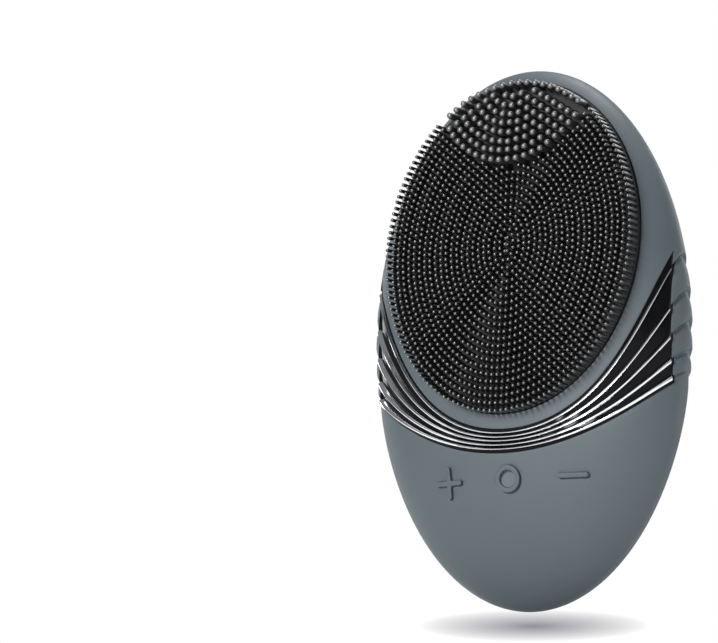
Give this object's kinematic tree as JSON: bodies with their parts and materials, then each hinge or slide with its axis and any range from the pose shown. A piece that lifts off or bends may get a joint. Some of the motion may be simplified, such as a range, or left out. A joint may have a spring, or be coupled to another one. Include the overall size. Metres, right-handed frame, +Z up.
{
  "type": "face cleansing brush",
  "caption": "Oval hand-held silicone face brush: bristle pad in front, ridged massage panel behind, fan-shaped trim, raised keys and a charging port with a pull-loop stopper.",
  "frame": {"origin": "centre of the grip, on the seam plane between the front and rear halves, level with the keys", "axes": "+Z up the long axis towards the brush head, +Y out of the massage side, bristles along -Y, +X to the right as seen from the brush side"},
  "size_m": [0.078, 0.0264, 0.12],
  "materials": {
    "silicone_grey": "soft-touch matte silicone, slate grey",
    "silicone_black": "satin silicone, charcoal black",
    "trim_black": "piano-black gloss",
    "chrome": "bright chrome plating",
    "shell_plastic": "moulded ABS, fine spark texture",
    "lens": "smoked diffuser plastic",
    "led": "moulded lamp body",
    "board": "green solder mask",
    "switch_plastic": "moulded nylon",
    "steel": "turned and pressed steel",
    "battery_wrap": "aluminised pouch film",
    "foam": "closed-cell foam",
    "copper_wire": "insulated lead",
    "tungsten": "sintered heavy alloy"
  },
  "bodies": {
    "handset": {"battery_cell": "battery_wrap", "battery_foam": "foam", "battery_leads": "copper_wire", "battery_tray": "shell_plastic", "board_screws": "steel", "bristle_pad": "silicone_black", "charge_led": "led", "charge_socket": "switch_plastic", "chrome_rib_1": "chrome", "chrome_rib_2": "chrome", "chrome_rib_3": "chrome", "chrome_rib_4": "chrome", "chrome_rib_5": "chrome", "clamp_screws": "steel", "front_shell": "shell_plastic", "front_skin": "silicone_grey", "light_pipe": "lens", "lower_panel": "silicone_grey", "main_board": "board", "massage_panel": "silicone_grey", "minus_switch": "switch_plastic", "motor_can": "steel", "motor_clamp": "shell_plastic", "motor_leads": "copper_wire", "motor_sleeve": "foam", "plus_switch": "switch_plastic", "power_switch": "switch_plastic", "rear_shell": "shell_plastic", "rear_skin": "silicone_grey", "seam_gasket": "foam", "shell_screws": "steel", "tray_screws": "steel", "trim_band": "trim_black"},
    "plus_button": {"plus_key": "silicone_grey", "plus_plunger": "switch_plastic"},
    "power_button": {"power_key": "silicone_grey", "power_plunger": "switch_plastic"},
    "minus_button": {"minus_key": "silicone_grey", "minus_plunger": "switch_plastic"},
    "port_stopper": {"port_plug": "silicone_grey"},
    "motor_rotor": {"motor_shaft": "steel", "eccentric_weight": "tungsten"}
  },
  "joints": [
    {"name": "plus_press", "type": "slide", "parent": "handset", "child": "plus_button", "axis": [0, 1, 0], "range_m": [0, 0.0004], "stiffness_N_per_m": 1200, "springref_m": -0.0003},
    {"name": "power_press", "type": "slide", "parent": "handset", "child": "power_button", "axis": [0, 1, 0], "range_m": [0, 0.0004], "stiffness_N_per_m": 1200, "springref_m": -0.0003},
    {"name": "minus_press", "type": "slide", "parent": "handset", "child": "minus_button", "axis": [0, 1, 0], "range_m": [0, 0.0004], "stiffness_N_per_m": 1200, "springref_m": -0.0003},
    {"name": "port_stopper_pull", "type": "slide", "parent": "handset", "child": "port_stopper", "axis": [0, 1, 0], "range_m": [0, 0.008]},
    {"name": "motor_spin", "type": "hinge", "parent": "handset", "child": "motor_rotor", "pos_m": [0, -0.0002, 0.06], "axis": [1, 0, 0], "continuous": true}
  ]
}
